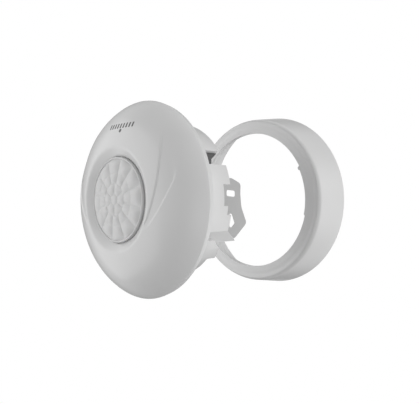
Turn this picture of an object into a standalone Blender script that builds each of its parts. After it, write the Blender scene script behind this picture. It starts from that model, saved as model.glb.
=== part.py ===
"""Round passive-infrared motion sensor: the sensing head, pulled off its surface mounting ring.

The sensor axis is Y. The lens faces -Y and +Z is up. The origin is the centre of the
mounting plane at the rear of the ring, and the head stands in front of the ring at the
distance from which it is pushed in. Lengths below are millimetres; MM turns them into metres.
Head parts are placed from the head's rim plane, ring parts from the mounting plane.
"""

import math

import bmesh
import bpy
from mathutils import Matrix, Vector

MM = 0.001
ROUND = 48
GAP = 0.3
# Share of a step by which a drilled circle is turned, so that its corners miss the radial edges.
CIRCLE_PHASE = 0.37

# Mounting ring
RING_DEPTH = 25.1
RING_HOLE_RADIUS = 47.5
RING_FACE_RADIUS = 54.6
RING_FRONT_RADIUS = 57.1
RING_REAR_RADIUS = 60.9
RING_WALL = 1.1
RING_LIP = 3.5
TAB_TOP_ANGLE = 28.6
TAB_BOTTOM_ANGLE = -18.5
TAB_RADIUS = 47.0
CATCH_RADIUS = 45.6
STOP_RADIUS = 46.7
LUG_INNER = 46.5
LUG_THICK = 3.0
LUG_HALF_ANGLE = 8.5

# Keyhole and its slot in each lug, for a screw of 3.5 mm
KEYHOLE_ACROSS = 52.8
KEYHOLE_UP = -3.0
KEYHOLE_RADIUS = 3.8
KEYSLOT_HALF_WIDTH = 1.9
KEYSLOT_TOP = 4.0

# Sensing head
RIM_PLANE = -122.8
COVER_RADIUS = 57.0
DOME_HEIGHT = 20.0
DOME_ROUNDNESS = 3.68
DOME_SHOULDER = 1.22
COVER_WALL = 2.0
DISH_RADIUS = 29.2
LENS_HOLE_RADIUS = 24.4
LENS_RADIUS = 23.5
LENS_EDGE = -17.5
LENS_CROWN = 1.9
LENS_WALL = 1.0
BOWL_RADIUS = 46.4
BOWL_WALL = 2.9
FLANGE_BACK = 8.2
GASKET_INNER = 47.0
GASKET_OUTER = 49.4
GASKET_THICK = 1.0
FLOOR_FRONT = 15.5
FLOOR_BACK = 17.5
BOARD_FRONT = 8.3
BOARD_BACK = 9.9
BOARD_RADIUS = 42.5

# Edge of the bowl's skirt, as (angle, distance behind the rim plane), over half a turn.
# The skirt is notched where it passes the ring's tabs, and the other half repeats it.
SKIRT_EDGE = [
    (90.0, 27.0), (60.0, 27.0), (37.5, 26.8), (36.1, 25.6), (35.7, 16.0),
    (24.9, 14.4), (24.6, 27.4), (10.8, 27.2), (10.5, 21.7), (-4.1, 21.7),
    (-4.3, 24.8), (-10.4, 24.8), (-10.6, 28.0), (-22.0, 28.0), (-22.3, 12.0),
    (-28.7, 12.0), (-29.0, 19.7), (-36.5, 26.2), (-44.3, 28.3), (-46.0, 28.5),
    (-46.3, 22.6), (-89.9, 22.6),
]

# Bayonet channel in the skirt: catches enter between the notch's sides and turn along the slot.
CHANNEL_LOW = 24.6
CHANNEL_HIGH = 35.85
SLOT_END = 50.5
CHANNEL_RADIUS = 45.2
SLOT_FRONT = 9.3
SLOT_BACK = 13.8

# Entry plug: its front drifts back along the arc, and its rear edge bends up to a point.
PLUG_FRONT = 14.9
PLUG_DRIFT = 1.5
PLUG_BEND = 30.0
PLUG_BACK = 17.6
PLUG_BEND_RISE = 1.4
PLUG_POINT_RISE = 5.6

SCREW_CIRCLE = 38.1
SCREW_ANGLES = (90.0, -30.0, 210.0)
TERMINAL_COLUMNS = (-10.0, 0.0, 10.0)
PIN_HEIGHT = 4.0
BRACKET_SCREW_SPREAD = 29.0
BRACKET_SCREW_HEIGHTS = (-8.0, 4.0)
DIAL_SPREAD = 12.0
DIAL_DROP = -26.0
DIP_HEIGHT = 26.0
DIP_PITCH = 2.54
TAMPER_HEIGHT = 30.0


def clear_scene():
    for item in list(bpy.data.objects):
        bpy.data.objects.remove(item, do_unlink=True)


def make_material(name, colour, roughness, metallic=0.0):
    made = bpy.data.materials.new(name)
    made.use_nodes = True
    shader = made.node_tree.nodes["Principled BSDF"]
    shader.inputs["Base Color"].default_value = (*colour, 1.0)
    shader.inputs["Roughness"].default_value = roughness
    shader.inputs["Metallic"].default_value = metallic
    made.diffuse_color = (*colour, 1.0)
    return made


def make_materials():
    return {
        "white": make_material("white_plastic", (0.80, 0.80, 0.80), 0.45),
        "lens": make_material("lens_polyethylene", (0.78, 0.78, 0.78), 0.50),
        "grey": make_material("grey_plastic", (0.42, 0.42, 0.42), 0.45),
        "rubber": make_material("dark_rubber", (0.05, 0.05, 0.05), 0.80),
        "gasket": make_material("white_silicone", (0.75, 0.75, 0.75), 0.70),
        "board": make_material("green_board", (0.02, 0.16, 0.06), 0.40),
        "black": make_material("black_plastic", (0.02, 0.02, 0.02), 0.45),
        "steel": make_material("zinc_steel", (0.62, 0.62, 0.62), 0.30, 1.0),
        "brass": make_material("brass", (0.75, 0.55, 0.25), 0.30, 1.0),
        "gold": make_material("tin_plate", (0.80, 0.78, 0.72), 0.30, 1.0),
        "filter": make_material("silicon_filter", (0.10, 0.10, 0.12), 0.15, 0.6),
        "blue": make_material("blue_plastic", (0.03, 0.12, 0.45), 0.40),
        "red": make_material("red_lens", (0.60, 0.03, 0.02), 0.20),
    }


def place(mesh_maker, name, skin, at=(0.0, 0.0, 0.0), parent=None):
    """Turn a bmesh into a named object with outward faces, smooth except at its edges."""
    bmesh.ops.recalc_face_normals(mesh_maker, faces=mesh_maker.faces[:])
    mesh = bpy.data.meshes.new(name)
    mesh_maker.to_mesh(mesh)
    mesh_maker.free()
    mesh.materials.append(skin)
    mesh.shade_smooth()
    mesh.set_sharp_from_angle(angle=math.radians(35.0))
    made = bpy.data.objects.new(name, mesh)
    made.location = Vector(at) * MM
    made.parent = parent
    bpy.context.scene.collection.objects.link(made)
    return made


def edge_at(outline, angle):
    """Height of a stepped outline at an angle, with straight stretches between its points."""
    for (first, low), (second, high) in zip(outline, outline[1:]):
        if second <= angle <= first:
            return low + (high - low) * (first - angle) / (first - second)
    return outline[-1][1]


def turned_stations(angles, section_at):
    """Closed solid through the sections at a full turn of angles about Y."""
    made = bmesh.new()
    axis_points = {}
    rings = []
    for angle in angles:
        turn = math.radians(angle)
        ring = []
        for index, (radius, along) in enumerate(section_at(angle)):
            if radius > 0.0:
                spot = (radius * math.cos(turn) * MM, along * MM, radius * math.sin(turn) * MM)
                ring.append(made.verts.new(spot))
                continue
            if index not in axis_points:
                axis_points[index] = made.verts.new((0.0, along * MM, 0.0))
            ring.append(axis_points[index])
        rings.append(ring)
    for ring, following in zip(rings, rings[1:] + rings[:1]):
        for index in range(len(ring)):
            after = (index + 1) % len(ring)
            corners = [ring[index], ring[after], following[after], following[index]]
            corners = list(dict.fromkeys(corners))
            if len(corners) > 2:
                made.faces.new(corners)
    return made


def turned(profile, count=ROUND):
    """Closed outline of (radius, y) points turned a full turn about Y."""
    angles = [360.0 * step / count for step in range(count)]
    return turned_stations(angles, lambda angle: profile)


def add_sector(made, inner, outer, low_angle, high_angle, front, back_at, steps=4, slant=0.0):
    """Arc-shaped block between two radii; back_at gives its rear face, slant its front's drift."""
    sections = []
    for step in range(steps + 1):
        angle = low_angle + (high_angle - low_angle) * step / steps
        turn = math.radians(angle)
        near = front + slant * step / steps
        corners = [(inner, near), (outer, near), (outer, back_at(angle)), (inner, back_at(angle))]
        sections.append([
            made.verts.new((radius * math.cos(turn) * MM, along * MM, radius * math.sin(turn) * MM))
            for radius, along in corners
        ])
    for section, following in zip(sections, sections[1:]):
        for index in range(4):
            after = (index + 1) % 4
            made.faces.new((section[index], section[after], following[after], following[index]))
    made.faces.new(sections[0])
    made.faces.new(sections[-1])


def add_twice(add):
    """Bmesh holding a shape and its copy half a turn round the sensor axis."""
    made = bmesh.new()
    add(made)
    copy = made.copy()
    bmesh.ops.rotate(copy, verts=copy.verts[:], matrix=Matrix.Rotation(math.pi, 3, "Y"))
    spare = bpy.data.meshes.new("half_turn_copy")
    copy.to_mesh(spare)
    copy.free()
    made.from_mesh(spare)
    bpy.data.meshes.remove(spare)
    return made


def add_prism(made, outline, axis, low, high):
    """Extrude an outline along X (outline in y, z) or along Y (outline in x, z).

    low and high are one number each, or one number for each point of the outline.
    """
    lows = low if isinstance(low, (list, tuple)) else [low] * len(outline)
    highs = high if isinstance(high, (list, tuple)) else [high] * len(outline)

    def spot(first, second, along):
        point = (along, first, second) if axis == "X" else (first, along, second)
        return made.verts.new(Vector(point) * MM)

    near = [spot(first, second, along) for (first, second), along in zip(outline, lows)]
    far = [spot(first, second, along) for (first, second), along in zip(outline, highs)]
    for index in range(len(outline)):
        after = (index + 1) % len(outline)
        made.faces.new((near[index], near[after], far[after], far[index]))
    made.faces.new(near)
    made.faces.new(far)
    bmesh.ops.triangulate(made, faces=[face for face in made.faces if len(face.verts) > 4])


def add_block(made, x_range, y_range, z_range):
    outline = [(x, z) for x, z in zip((x_range[0], x_range[1], x_range[1], x_range[0]),
                                      (z_range[0], z_range[0], z_range[1], z_range[1]))]
    add_prism(made, outline, "Y", y_range[0], y_range[1])


def circle(radius, centre=(0.0, 0.0), count=16):
    steps = [2.0 * math.pi * (step + CIRCLE_PHASE) / count for step in range(count)]
    return [(centre[0] + radius * math.cos(turn), centre[1] + radius * math.sin(turn)) for turn in steps]


def rounded(corners, radius, steps=4):
    """Outline with each corner replaced by a curve that starts and ends radius away from it."""
    points = []
    for index, corner in enumerate(corners):
        here = Vector(corner)
        before = (Vector(corners[index - 1]) - here).normalized() * radius + here
        after = (Vector(corners[(index + 1) % len(corners)]) - here).normalized() * radius + here
        for step in range(steps + 1):
            share = step / steps
            blend = before.lerp(here, share).lerp(here.lerp(after, share), share)
            points.append((blend.x, blend.y))
    return points


def combine(target, tool, operation):
    """Boolean that stays on the target; its tool is only a guide."""
    change = target.modifiers.new(tool.name, "BOOLEAN")
    change.operation = operation
    change.solver = "EXACT"
    change.object = tool
    tool.hide_render = True
    tool.display_type = "WIRE"


def tool_from(made, name, target):
    return place(made, name, target.data.materials[0], target.location / MM, target.parent)


def cut(target, made, name):
    combine(target, tool_from(made, name, target), "DIFFERENCE")


def fuse(target, made, name):
    combine(target, tool_from(made, name, target), "UNION")


def dome(radius, height, span_low, count):
    """Dome profile from its rim towards the axis, down to the radius span_low."""
    points = []
    last = math.acos((span_low / radius) ** (DOME_ROUNDNESS / 2.0))
    for step in range(count + 1):
        turn = last * step / count
        across = radius * math.cos(turn) ** (2.0 / DOME_ROUNDNESS)
        along = -height * math.sin(turn) ** (2.0 / DOME_SHOULDER)
        points.append((across, along))
    return points


def dome_at(radius, height, across):
    return -height * (1.0 - (across / radius) ** DOME_ROUNDNESS) ** (1.0 / DOME_SHOULDER)


def mounting_ring(skins):
    """Hollow flared ring with a front lip, bayonet tabs and keyhole lugs."""
    front = -RING_DEPTH
    corner = RING_FRONT_RADIUS - RING_FACE_RADIUS
    fillet = []
    for step in range(4):
        turn = math.radians(30.0 * step)
        fillet.append((RING_FACE_RADIUS + corner * math.sin(turn), front + corner * (1.0 - math.cos(turn))))
    profile = [(RING_HOLE_RADIUS, front)] + fillet + [
        (RING_REAR_RADIUS, 0.0),
        (RING_REAR_RADIUS - RING_WALL, 0.0),
        (RING_FRONT_RADIUS - 1.7, front + RING_LIP + 1.0),
        (RING_FRONT_RADIUS - 2.7, front + RING_LIP),
        (RING_HOLE_RADIUS, front + RING_LIP),
    ]
    ring = place(turned(profile), "mounting_ring", skins["white"])

    tab_front = front + 0.2
    tab_back = front + RING_LIP - 0.2
    root = RING_HOLE_RADIUS + 1.2

    def add_tab(made):
        add_sector(made, TAB_RADIUS, root, TAB_BOTTOM_ANGLE + 3.9, TAB_TOP_ANGLE - 3.6,
                   tab_front, lambda angle: tab_back, 8)

    def add_catch(made):
        add_sector(made, CATCH_RADIUS, root + 0.1, TAB_TOP_ANGLE - 3.7, TAB_TOP_ANGLE,
                   tab_front + 0.05, lambda angle: tab_back - 0.05, 2)
        add_sector(made, STOP_RADIUS, root + 0.1, TAB_BOTTOM_ANGLE, TAB_BOTTOM_ANGLE + 4.0,
                   tab_front + 0.05, lambda angle: tab_back - 0.05, 2)

    fuse(ring, add_twice(add_tab), "tab_shelf_guide")
    fuse(ring, add_twice(add_catch), "tab_catch_guide")

    def add_lug(made):
        add_sector(made, LUG_INNER, RING_REAR_RADIUS - 0.9, -LUG_HALF_ANGLE, LUG_HALF_ANGLE,
                   -LUG_THICK, lambda angle: -0.2, 4)

    def add_keyhole(made):
        add_prism(made, circle(KEYHOLE_RADIUS, (KEYHOLE_ACROSS, KEYHOLE_UP)), "Y", -LUG_THICK - 1.0, 1.0)

    def add_keyslot(made):
        sides = (KEYHOLE_ACROSS - KEYSLOT_HALF_WIDTH, KEYHOLE_ACROSS + KEYSLOT_HALF_WIDTH)
        add_block(made, sides, (-LUG_THICK - 1.0, 1.0), (KEYHOLE_UP, KEYSLOT_TOP))

    fuse(ring, add_twice(add_lug), "lug_guide")
    cut(ring, add_twice(add_keyhole), "keyhole_guide")
    cut(ring, add_twice(add_keyslot), "keyslot_guide")
    return ring


def head_gasket(skins, head):
    """Soft washer that seals the head's rear flange against the front of the ring."""
    low = FLANGE_BACK + GAP
    high = low + GASKET_THICK
    profile = [(GASKET_INNER, low), (GASKET_OUTER, low), (GASKET_OUTER, high), (GASKET_INNER, high)]
    return place(turned(profile), "head_gasket", skins["gasket"], parent=head)


def front_cover(skins, head):
    """Domed front shell with the dished lens opening, a lens boss and a snap skirt."""
    inside = COVER_RADIUS - COVER_WALL
    inside_height = DOME_HEIGHT - COVER_WALL
    profile = dome(COVER_RADIUS, DOME_HEIGHT, DISH_RADIUS, 9)
    profile += [
        (LENS_HOLE_RADIUS, -16.0), (LENS_HOLE_RADIUS, -14.9),
        (27.0, -14.9), (27.0, -11.0), (28.6, -11.0),
    ]
    profile += [(across, dome_at(inside, inside_height, across)) for across in (28.6, 36.0, 43.0, 48.6)]
    profile += [(48.6, 2.8), (50.2, 2.8)]
    profile += [(across, dome_at(inside, inside_height, across)) for across in (50.2, 52.6, 54.2)]
    profile += [(54.9, -0.8), (54.9, 0.9), (56.9, 0.9)]
    return place(turned(profile), "front_cover", skins["white"], parent=head)


def lens_disc(skins, head):
    """Domed plastic lens array with a clamping flange behind the cover."""
    crown = [23.5, 19.5, 15.0, 10.0, 5.0, 0.0]
    inner = LENS_RADIUS - LENS_WALL

    def rise(across):
        return LENS_EDGE - LENS_CROWN * (1.0 - (across / LENS_RADIUS) ** 2)

    profile = [(across, rise(across)) for across in crown]
    profile += [(across, rise(across) + LENS_WALL) for across in reversed(crown[1:])]
    profile += [(inner, rise(inner) + LENS_WALL), (inner, -13.4), (26.4, -13.4), (26.4, -14.6)]
    profile += [(LENS_RADIUS, -14.6)]
    return place(turned(profile, 40), "lens_disc", skins["lens"], parent=head)


def lens_retaining_ring(skins, head):
    profile = [(22.9, -13.1), (26.6, -13.1), (26.6, -11.6), (22.9, -11.6)]
    return place(turned(profile, 32), "lens_retaining_ring", skins["white"], parent=head)


def rear_housing(skins, head):
    """Bowl with a floor, screw pillars and the notched bayonet skirt."""
    inner = BOWL_RADIUS - BOWL_WALL

    def section(angle):
        folded = (angle + 90.0) % 180.0 - 90.0
        edge = edge_at(SKIRT_EDGE, folded)
        wall_top = min(FLOOR_FRONT, edge - 2.0)
        floor_back = min(FLOOR_BACK, edge - 1.0)
        return [
            (52.2, 1.2), (56.5, 1.2), (56.3, 1.7), (52.0, 6.0), (49.8, FLANGE_BACK),
            (BOWL_RADIUS, FLANGE_BACK), (BOWL_RADIUS, edge), (inner + 0.2, edge),
            (inner, floor_back), (inner - 1.5, FLOOR_BACK), (0.0, FLOOR_BACK), (0.0, FLOOR_FRONT),
            (inner - 1.5, FLOOR_FRONT), (inner, wall_top - 0.5), (inner, 7.2), (47.5, 6.0),
        ]

    half = sorted({point[0] for point in SKIRT_EDGE} | set(range(-85, 90, 10)))
    angles = half + [angle + 180.0 for angle in half]
    housing = place(turned_stations(angles, section), "rear_housing", skins["white"], parent=head)

    def add_web(made):
        outline = [(43.0, -17.4), (36.6, -24.0), (35.3, -22.6), (41.4, -16.2)]
        add_prism(made, outline, "Y", 10.4, [28.0, 40.6, 40.6, 28.0])

    def add_pillars(made):
        for angle in SCREW_ANGLES:
            add_prism(made, circle(3.0, on_circle(angle), 12), "Y", BOARD_BACK + GAP, FLOOR_FRONT + 1.0)

    def add_channel(made):
        add_sector(made, CHANNEL_RADIUS, 48.0, CHANNEL_LOW, CHANNEL_HIGH,
                   SLOT_FRONT + 0.1, lambda angle: 15.5, 3)

    def add_slot(made):
        add_sector(made, CHANNEL_RADIUS, 48.0, CHANNEL_LOW, SLOT_END,
                   SLOT_FRONT, lambda angle: SLOT_BACK, 6)

    fuse(housing, add_twice(add_web), "web_guide")
    pillars = bmesh.new()
    add_pillars(pillars)
    fuse(housing, pillars, "pillar_guide")
    cut(housing, add_twice(add_channel), "channel_guide")
    cut(housing, add_twice(add_slot), "slot_guide")

    holes = bmesh.new()
    for angle in SCREW_ANGLES:
        add_prism(holes, circle(1.5, on_circle(angle), 8), "Y", BOARD_BACK - 1.0, FLOOR_FRONT - 0.5)
    through = (FLOOR_FRONT - 1.0, FLOOR_BACK + 1.0)
    for across in TERMINAL_COLUMNS:
        add_prism(holes, circle(1.0, (across, PIN_HEIGHT), 8), "Y", *through)
    for centre in bracket_screw_spots():
        add_prism(holes, circle(1.3, centre, 8), "Y", *through)
    cut(housing, holes, "hole_guide")
    return housing


def on_circle(angle):
    turn = math.radians(angle)
    return (SCREW_CIRCLE * math.cos(turn), SCREW_CIRCLE * math.sin(turn))


def bracket_screw_spots():
    return [
        (side * BRACKET_SCREW_SPREAD, side * height)
        for side in (1, -1) for height in BRACKET_SCREW_HEIGHTS
    ]


def entry_plug(skins, head, name, turn):
    """Rubber wedge that closes the cable notch of the skirt, inside the catch's path."""
    made = bmesh.new()
    low = CHANNEL_LOW + 1.8
    high = CHANNEL_HIGH - 0.5

    def back_at(angle):
        rise = PLUG_BEND_RISE * min(1.0, (angle - low) / (PLUG_BEND - low))
        point = PLUG_POINT_RISE * max(0.0, (angle - PLUG_BEND) / (high - PLUG_BEND))
        return PLUG_BACK + rise + point

    inner = BOWL_RADIUS - BOWL_WALL + 0.6
    add_sector(made, inner, CHANNEL_RADIUS - 0.2, low, high, PLUG_FRONT, back_at, slant=PLUG_DRIFT)
    bmesh.ops.rotate(made, verts=made.verts[:], matrix=Matrix.Rotation(math.radians(turn), 3, "Y"))
    return place(made, name, skins["rubber"], parent=head)


def wiring_bracket(skins, head, name, turn):
    """Upright plate behind the bowl that guides and strain-relieves the field wires."""
    corners = [
        (18.3, 11.0), (40.3, 12.8), (48.5, 9.5), (48.1, 4.0), (49.2, -4.4),
        (54.0, -14.2), (42.9, -23.6), (33.0, -20.0), (18.3, -14.0),
    ]
    made = bmesh.new()
    add_prism(made, rounded(corners, 1.6, 3), "X", 32.0, 34.0)
    turn_matrix = Matrix.Rotation(math.radians(turn), 3, "Y")
    bmesh.ops.rotate(made, verts=made.verts[:], matrix=turn_matrix)
    plate = place(made, name, skins["grey"], parent=head)

    foot = bmesh.new()
    add_block(foot, (26.0, 33.0), (FLOOR_BACK + GAP, 19.8), (-12.0, 8.0))
    bmesh.ops.rotate(foot, verts=foot.verts[:], matrix=turn_matrix)
    fuse(plate, foot, name + "_foot_guide")

    holes = bmesh.new()
    slot = [(36.5, 5.8), (46.0, 5.8), (46.0, 2.0), (36.5, 2.0)]
    gusset = [(39.2, -8.2), (42.2, -8.2), (45.9, -14.4), (39.2, -16.4)]
    add_prism(holes, rounded(slot, 0.9, 2), "X", 31.0, 35.0)
    add_prism(holes, rounded(gusset, 0.5, 2), "X", 31.0, 35.0)
    for height in BRACKET_SCREW_HEIGHTS:
        add_prism(holes, circle(1.3, (BRACKET_SCREW_SPREAD, height), 8), "Y", 17.0, 21.0)
    bmesh.ops.rotate(holes, verts=holes.verts[:], matrix=turn_matrix)
    cut(plate, holes, name + "_hole_guide")
    return plate


def screw_shape(seat, head_height, head_radius, shank_radius, tip, count=10):
    """Screw along Y whose head sits on seat; the head points away from its tip."""
    top = seat + (head_height if seat > tip else -head_height)
    profile = [
        (0.0, tip), (shank_radius, tip), (shank_radius, seat),
        (head_radius, seat), (head_radius, top), (0.0, top),
    ]
    return turned(profile, count)


def bracket_screws(skins, head):
    for index, (across, up) in enumerate(bracket_screw_spots()):
        made = screw_shape(20.1, 1.3, 2.1, 1.0, FLOOR_FRONT + 0.4)
        place(made, "bracket_screw_%d" % (index + 1), skins["steel"], (across, 0.0, up), head)


def main_board(skins, head):
    """Round circuit board with its screw holes and terminal pin holes."""
    profile = [(0.0, BOARD_FRONT), (BOARD_RADIUS, BOARD_FRONT), (BOARD_RADIUS, BOARD_BACK), (0.0, BOARD_BACK)]
    board = place(turned(profile), "main_board", skins["board"], parent=head)
    holes = bmesh.new()
    for angle in SCREW_ANGLES:
        add_prism(holes, circle(1.6, on_circle(angle), 10), "Y", BOARD_FRONT - 1.0, BOARD_BACK + 1.0)
    cut(board, holes, "board_hole_guide")
    return board


def board_screws(skins, head):
    for index, angle in enumerate(SCREW_ANGLES):
        made = screw_shape(BOARD_FRONT - GAP, 1.5, 2.6, 1.2, FLOOR_FRONT - 1.0)
        across, up = on_circle(angle)
        place(made, "board_screw_%d" % (index + 1), skins["steel"], (across, 0.0, up), head)


def terminal_pins(skins, head):
    for index, across in enumerate(TERMINAL_COLUMNS):
        made = bmesh.new()
        add_prism(made, circle(0.6, count=6), "Y", BOARD_BACK + GAP, FLOOR_BACK)
        place(made, "terminal_pin_%d" % (index + 1), skins["gold"], (across, 0.0, PIN_HEIGHT), head)


def on_board(name, skin, head, size, centre, depth):
    """Block-shaped component standing on the front of the board."""
    made = bmesh.new()
    half = (size[0] / 2.0, size[1] / 2.0)
    back = BOARD_FRONT - GAP
    add_block(made, (-half[0], half[0]), (back - depth, back), (-half[1], half[1]))
    bmesh.ops.bevel(made, geom=made.edges[:], offset=0.3 * MM, segments=1, affect="EDGES")
    return place(made, name, skin, (centre[0], 0.0, centre[1]), head)


def can_on_board(name, skin, head, radius, centre, depth, count=20):
    """Round component standing on the front of the board, with an eased front rim."""
    back = BOARD_FRONT - GAP
    profile = [
        (0.0, back), (radius, back), (radius, back - depth + 0.6),
        (radius - 0.6, back - depth), (0.0, back - depth),
    ]
    return place(turned(profile, count), name, skin, (centre[0], 0.0, centre[1]), head)


def pyro_sensor(skins, head):
    """Metal can with a sunk square window, on a plastic spacer."""
    spacer = [(1.2, 7.0), (5.6, 7.0), (5.6, 8.0), (1.2, 8.0)]
    place(turned(spacer, 24), "pyro_spacer", skins["white"], parent=head)
    front = 2.9
    can = [(0.0, 6.7), (4.9, 6.7), (4.9, 6.1), (4.1, 6.1), (4.1, front + 0.4), (3.8, front), (0.0, front)]
    shell = place(turned(can, 24), "pyro_can", skins["steel"], parent=head)
    sunk = bmesh.new()
    add_block(sunk, (-2.6, 2.6), (front - 1.0, front + 0.9), (-2.1, 2.1))
    cut(shell, sunk, "pyro_window_guide")
    window = bmesh.new()
    add_block(window, (-2.3, 2.3), (front + 0.1, front + 0.6), (-1.8, 1.8))
    place(window, "pyro_window", skins["filter"], parent=head)


def trimmer(skins, head, name, centre):
    """Square trimmer body, and the slotted dial that turns in it."""
    body = bmesh.new()
    add_block(body, (-4.5, 4.5), (3.3, 8.0), (-4.5, 4.5))
    housing = place(body, name + "_body", skins["blue"], (centre[0], 0.0, centre[1]), head)
    well = bmesh.new()
    add_prism(well, circle(3.1, count=20), "Y", 2.0, 6.2)
    cut(housing, well, name + "_well_guide")

    profile = [(0.0, 2.6), (2.5, 2.6), (2.8, 2.9), (2.8, 5.8), (0.0, 5.8)]
    dial = place(turned(profile, 20), name, skins["white"], (centre[0], 0.0, centre[1]), head)
    slot = bmesh.new()
    add_block(slot, (-0.4, 0.4), (1.8, 3.6), (-2.1, 2.1))
    cut(dial, slot, name + "_slot_guide")


def dip_switch(skins, head):
    """Four-way switch: one body, and four sliders that move up by a slot's spare length."""
    body = bmesh.new()
    add_block(body, (-5.8, 5.8), (3.6, 8.0), (-3.1, 3.1))
    housing = place(body, "dip_body", skins["red"], (0.0, 0.0, DIP_HEIGHT), head)
    slots = bmesh.new()
    columns = [(index - 1.5) * DIP_PITCH for index in range(4)]
    for column in columns:
        add_block(slots, (column - 0.8, column + 0.8), (2.0, 5.4), (-2.0, 2.0))
    cut(housing, slots, "dip_slot_guide")
    for index, column in enumerate(columns):
        slider = bmesh.new()
        add_block(slider, (-0.5, 0.5), (2.9, 5.0), (-0.6, 0.6))
        spot = (column, 0.0, DIP_HEIGHT - 1.0)
        place(slider, "dip_slider_%d" % (index + 1), skins["white"], spot, head)


def terminal_block(skins, head):
    """Rear terminal block with three wire chambers, their clamps and their screws."""
    back = 29.8
    body = bmesh.new()
    add_block(body, (-16.0, 16.0), (FLOOR_BACK + GAP, back), (-7.0, 7.0))
    block = place(body, "terminal_block", skins["black"], parent=head)
    chambers = bmesh.new()
    wells = bmesh.new()
    for column in TERMINAL_COLUMNS:
        add_block(chambers, (column - 3.2, column + 3.2), (19.4, 25.4), (-9.0, 3.2))
        add_prism(wells, circle(2.8, (column, 0.0), 14), "Y", 24.9, back + 1.0)
    cut(block, chambers, "chamber_guide")
    cut(block, wells, "well_guide")
    for index, column in enumerate(TERMINAL_COLUMNS):
        clamp = bmesh.new()
        add_block(clamp, (-2.8, 2.8), (21.6, 24.0), (-2.8, 2.8))
        cage = place(clamp, "terminal_clamp_%d" % (index + 1), skins["brass"], (column, 0.0, 0.0), head)
        thread = bmesh.new()
        add_prism(thread, circle(1.5, count=10), "Y", 20.0, 26.0)
        cut(cage, thread, "thread_guide_%d" % (index + 1))

        made = screw_shape(26.0, 2.4, 2.4, 1.2, 20.2, 14)
        screw = place(made, "terminal_screw_%d" % (index + 1), skins["steel"], (column, 0.0, 0.0), head)
        slot = bmesh.new()
        add_block(slot, (-3.0, 3.0), (27.6, 30.0), (-0.4, 0.4))
        cut(screw, slot, "screw_slot_guide_%d" % (index + 1))


def tamper_switch(skins, head):
    """Push switch on the bowl's back: the mounting surface presses its plunger in."""
    body = bmesh.new()
    add_block(body, (-4.0, 4.0), (FLOOR_BACK + GAP, 26.3), (-4.0, 4.0))
    case = place(body, "tamper_body", skins["black"], (0.0, 0.0, TAMPER_HEIGHT), head)
    bore = bmesh.new()
    add_prism(bore, circle(2.1, count=14), "Y", 19.6, 28.0)
    cut(case, bore, "tamper_bore_guide")
    profile = [(0.0, 21.8), (1.7, 21.8), (1.7, 35.2), (1.2, 36.0), (0.0, 36.0)]
    place(turned(profile, 14), "tamper_plunger", skins["white"], (0.0, 0.0, TAMPER_HEIGHT), head)


def components(skins, head):
    """Electronic parts on the front of the board."""
    on_board("output_relay", skins["black"], head, (15.5, 10.5), (-24.0, 15.0), 12.0)
    on_board("controller_chip", skins["black"], head, (7.0, 7.0), (0.0, -14.0), 1.4)
    on_board("amplifier_chip", skins["black"], head, (5.0, 4.0), (11.5, 5.0), 1.5)
    on_board("surge_absorber", skins["blue"], head, (9.0, 3.5), (-28.0, -4.0), 9.0)
    on_board("light_cell", skins["red"], head, (3.2, 2.4), (11.0, 14.0), 1.6)
    can_on_board("capacitor_1", skins["black"], head, 4.0, (25.0, -6.0), 10.5)
    can_on_board("capacitor_2", skins["black"], head, 4.0, (25.0, 5.0), 10.5)
    can_on_board("status_led", skins["red"], head, 1.5, (-9.0, 8.0), 4.5, 14)


def main():
    clear_scene()
    skins = make_materials()
    head = bpy.data.objects.new("head_frame", None)
    head.location = Vector((0.0, RIM_PLANE, 0.0)) * MM
    bpy.context.scene.collection.objects.link(head)

    mounting_ring(skins)
    head_gasket(skins, head)
    front_cover(skins, head)
    lens_disc(skins, head)
    lens_retaining_ring(skins, head)
    rear_housing(skins, head)
    entry_plug(skins, head, "entry_plug_right", 0.0)
    entry_plug(skins, head, "entry_plug_left", 180.0)
    wiring_bracket(skins, head, "wiring_bracket_right", 0.0)
    wiring_bracket(skins, head, "wiring_bracket_left", 180.0)
    bracket_screws(skins, head)
    main_board(skins, head)
    board_screws(skins, head)
    terminal_pins(skins, head)
    pyro_sensor(skins, head)
    components(skins, head)
    trimmer(skins, head, "time_dial", (-DIAL_SPREAD, DIAL_DROP))
    trimmer(skins, head, "range_dial", (DIAL_SPREAD, DIAL_DROP))
    dip_switch(skins, head)
    terminal_block(skins, head)
    tamper_switch(skins, head)
    bpy.context.view_layer.update()


main()
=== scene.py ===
"""Looks for the motion sensor: the domed sensing head, pulled off its surface mounting ring.

Lengths are millimetres in the tables below and metres in Blender. Y is the sensor axis, the
lens faces -Y, and +Z is up. Head shapes are measured from the head's rim plane, ring shapes
from the mounting surface at Y = 0. Angles are degrees about Y, from +X towards +Z.
"""

import math

import bmesh
import bpy
import numpy as np
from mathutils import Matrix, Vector


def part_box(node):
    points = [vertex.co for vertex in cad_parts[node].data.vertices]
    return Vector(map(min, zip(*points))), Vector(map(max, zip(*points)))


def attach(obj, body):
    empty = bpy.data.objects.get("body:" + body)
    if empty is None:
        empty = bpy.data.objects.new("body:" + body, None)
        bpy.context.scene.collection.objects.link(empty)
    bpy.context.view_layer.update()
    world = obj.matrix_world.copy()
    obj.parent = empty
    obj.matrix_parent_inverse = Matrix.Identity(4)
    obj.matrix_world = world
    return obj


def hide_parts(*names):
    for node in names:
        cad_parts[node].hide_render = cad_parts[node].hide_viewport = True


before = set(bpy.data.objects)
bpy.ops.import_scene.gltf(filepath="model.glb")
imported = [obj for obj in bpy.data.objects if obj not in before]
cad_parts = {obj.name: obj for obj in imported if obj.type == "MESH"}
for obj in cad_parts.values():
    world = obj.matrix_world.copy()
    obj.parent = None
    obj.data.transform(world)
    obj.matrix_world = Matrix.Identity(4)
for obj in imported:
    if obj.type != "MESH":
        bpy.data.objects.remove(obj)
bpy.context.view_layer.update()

MM = 0.001
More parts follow.
